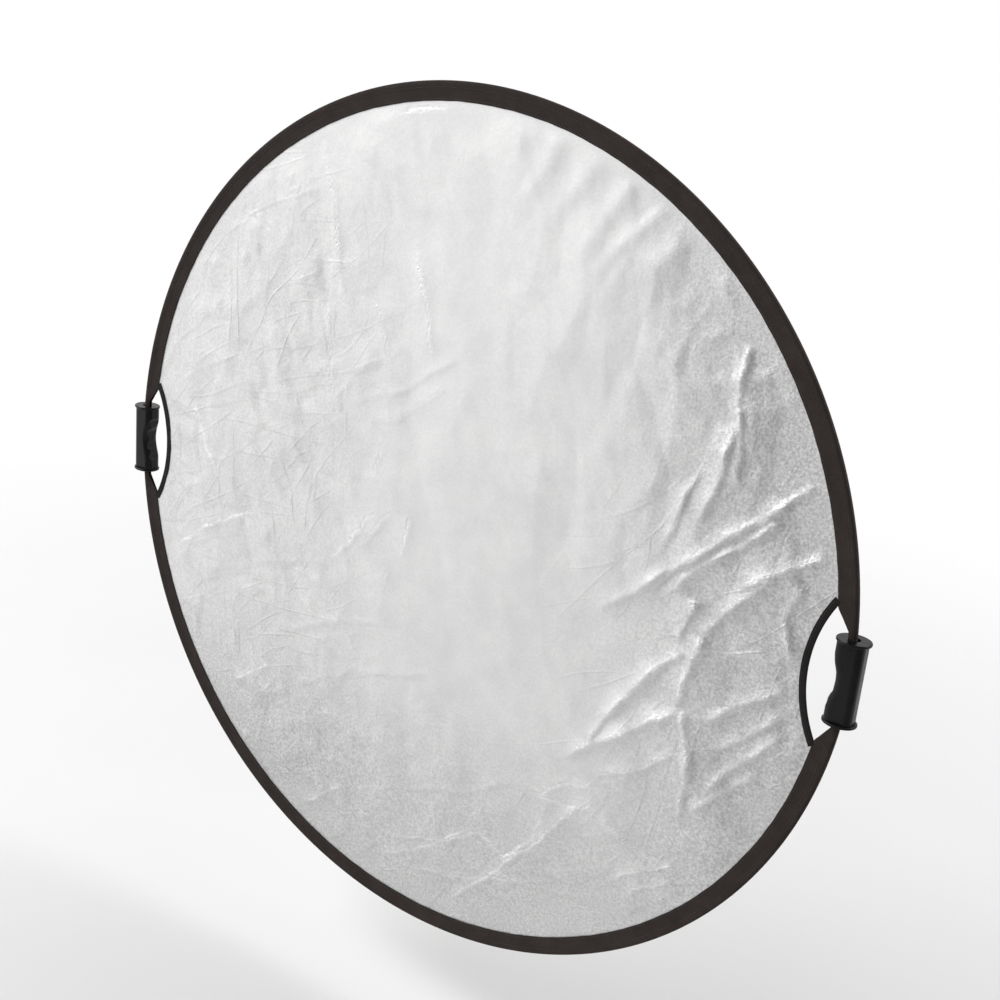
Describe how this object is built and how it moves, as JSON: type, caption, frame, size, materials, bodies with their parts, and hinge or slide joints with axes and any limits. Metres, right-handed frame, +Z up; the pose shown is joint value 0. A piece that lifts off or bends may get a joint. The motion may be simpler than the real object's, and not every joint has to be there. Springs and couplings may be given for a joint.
{
  "type": "collapsible reflector disc",
  "caption": "Round fabric light reflector on a sprung hoop, silver in front and white behind, with lens-shaped hand cut-outs and turning moulded grips at its sides.",
  "frame": {"origin": "centre of the disc, in the plane where the two cloth panels meet", "axes": "+Z up, +X towards the right grip as seen from the front, +Y away from the viewer: the silver front faces -Y"},
  "size_m": [1.231, 0.036, 1.2],
  "materials": {
    "silver_cloth": "metallised silver cloth, soft sheen, many storage creases",
    "white_cloth": "matte white woven cloth",
    "rim_tape": "matte charcoal woven tape",
    "cutout_tape": "matte black woven tape",
    "grip_plastic": "satin black moulded plastic",
    "spring_steel": "blued spring steel",
    "screw_steel": "blackened steel"
  },
  "bodies": {
    "disc": {"silver_panel": "silver_cloth", "white_panel": "white_cloth", "rim_binding_upper": "rim_tape", "rim_binding_lower": "rim_tape", "cutout_tape_left": "cutout_tape", "cutout_tape_right": "cutout_tape", "hoop_strip_upper": "spring_steel", "hoop_strip_lower": "spring_steel", "ferrule_left": "spring_steel", "ferrule_right": "spring_steel"},
    "grip_left": {"grip_left_front_shell": "grip_plastic", "grip_left_back_shell": "grip_plastic", "grip_left_screws": "screw_steel"},
    "grip_right": {"grip_right_front_shell": "grip_plastic", "grip_right_back_shell": "grip_plastic", "grip_right_screws": "screw_steel"}
  },
  "joints": [
    {"name": "grip_left_turn", "type": "hinge", "parent": "disc", "child": "grip_left", "pos_m": [-0.5945, 0, 0], "axis": [0, 0, 1], "continuous": true},
    {"name": "grip_right_turn", "type": "hinge", "parent": "disc", "child": "grip_right", "pos_m": [0.5945, 0, 0], "axis": [0, 0, 1], "continuous": true}
  ]
}
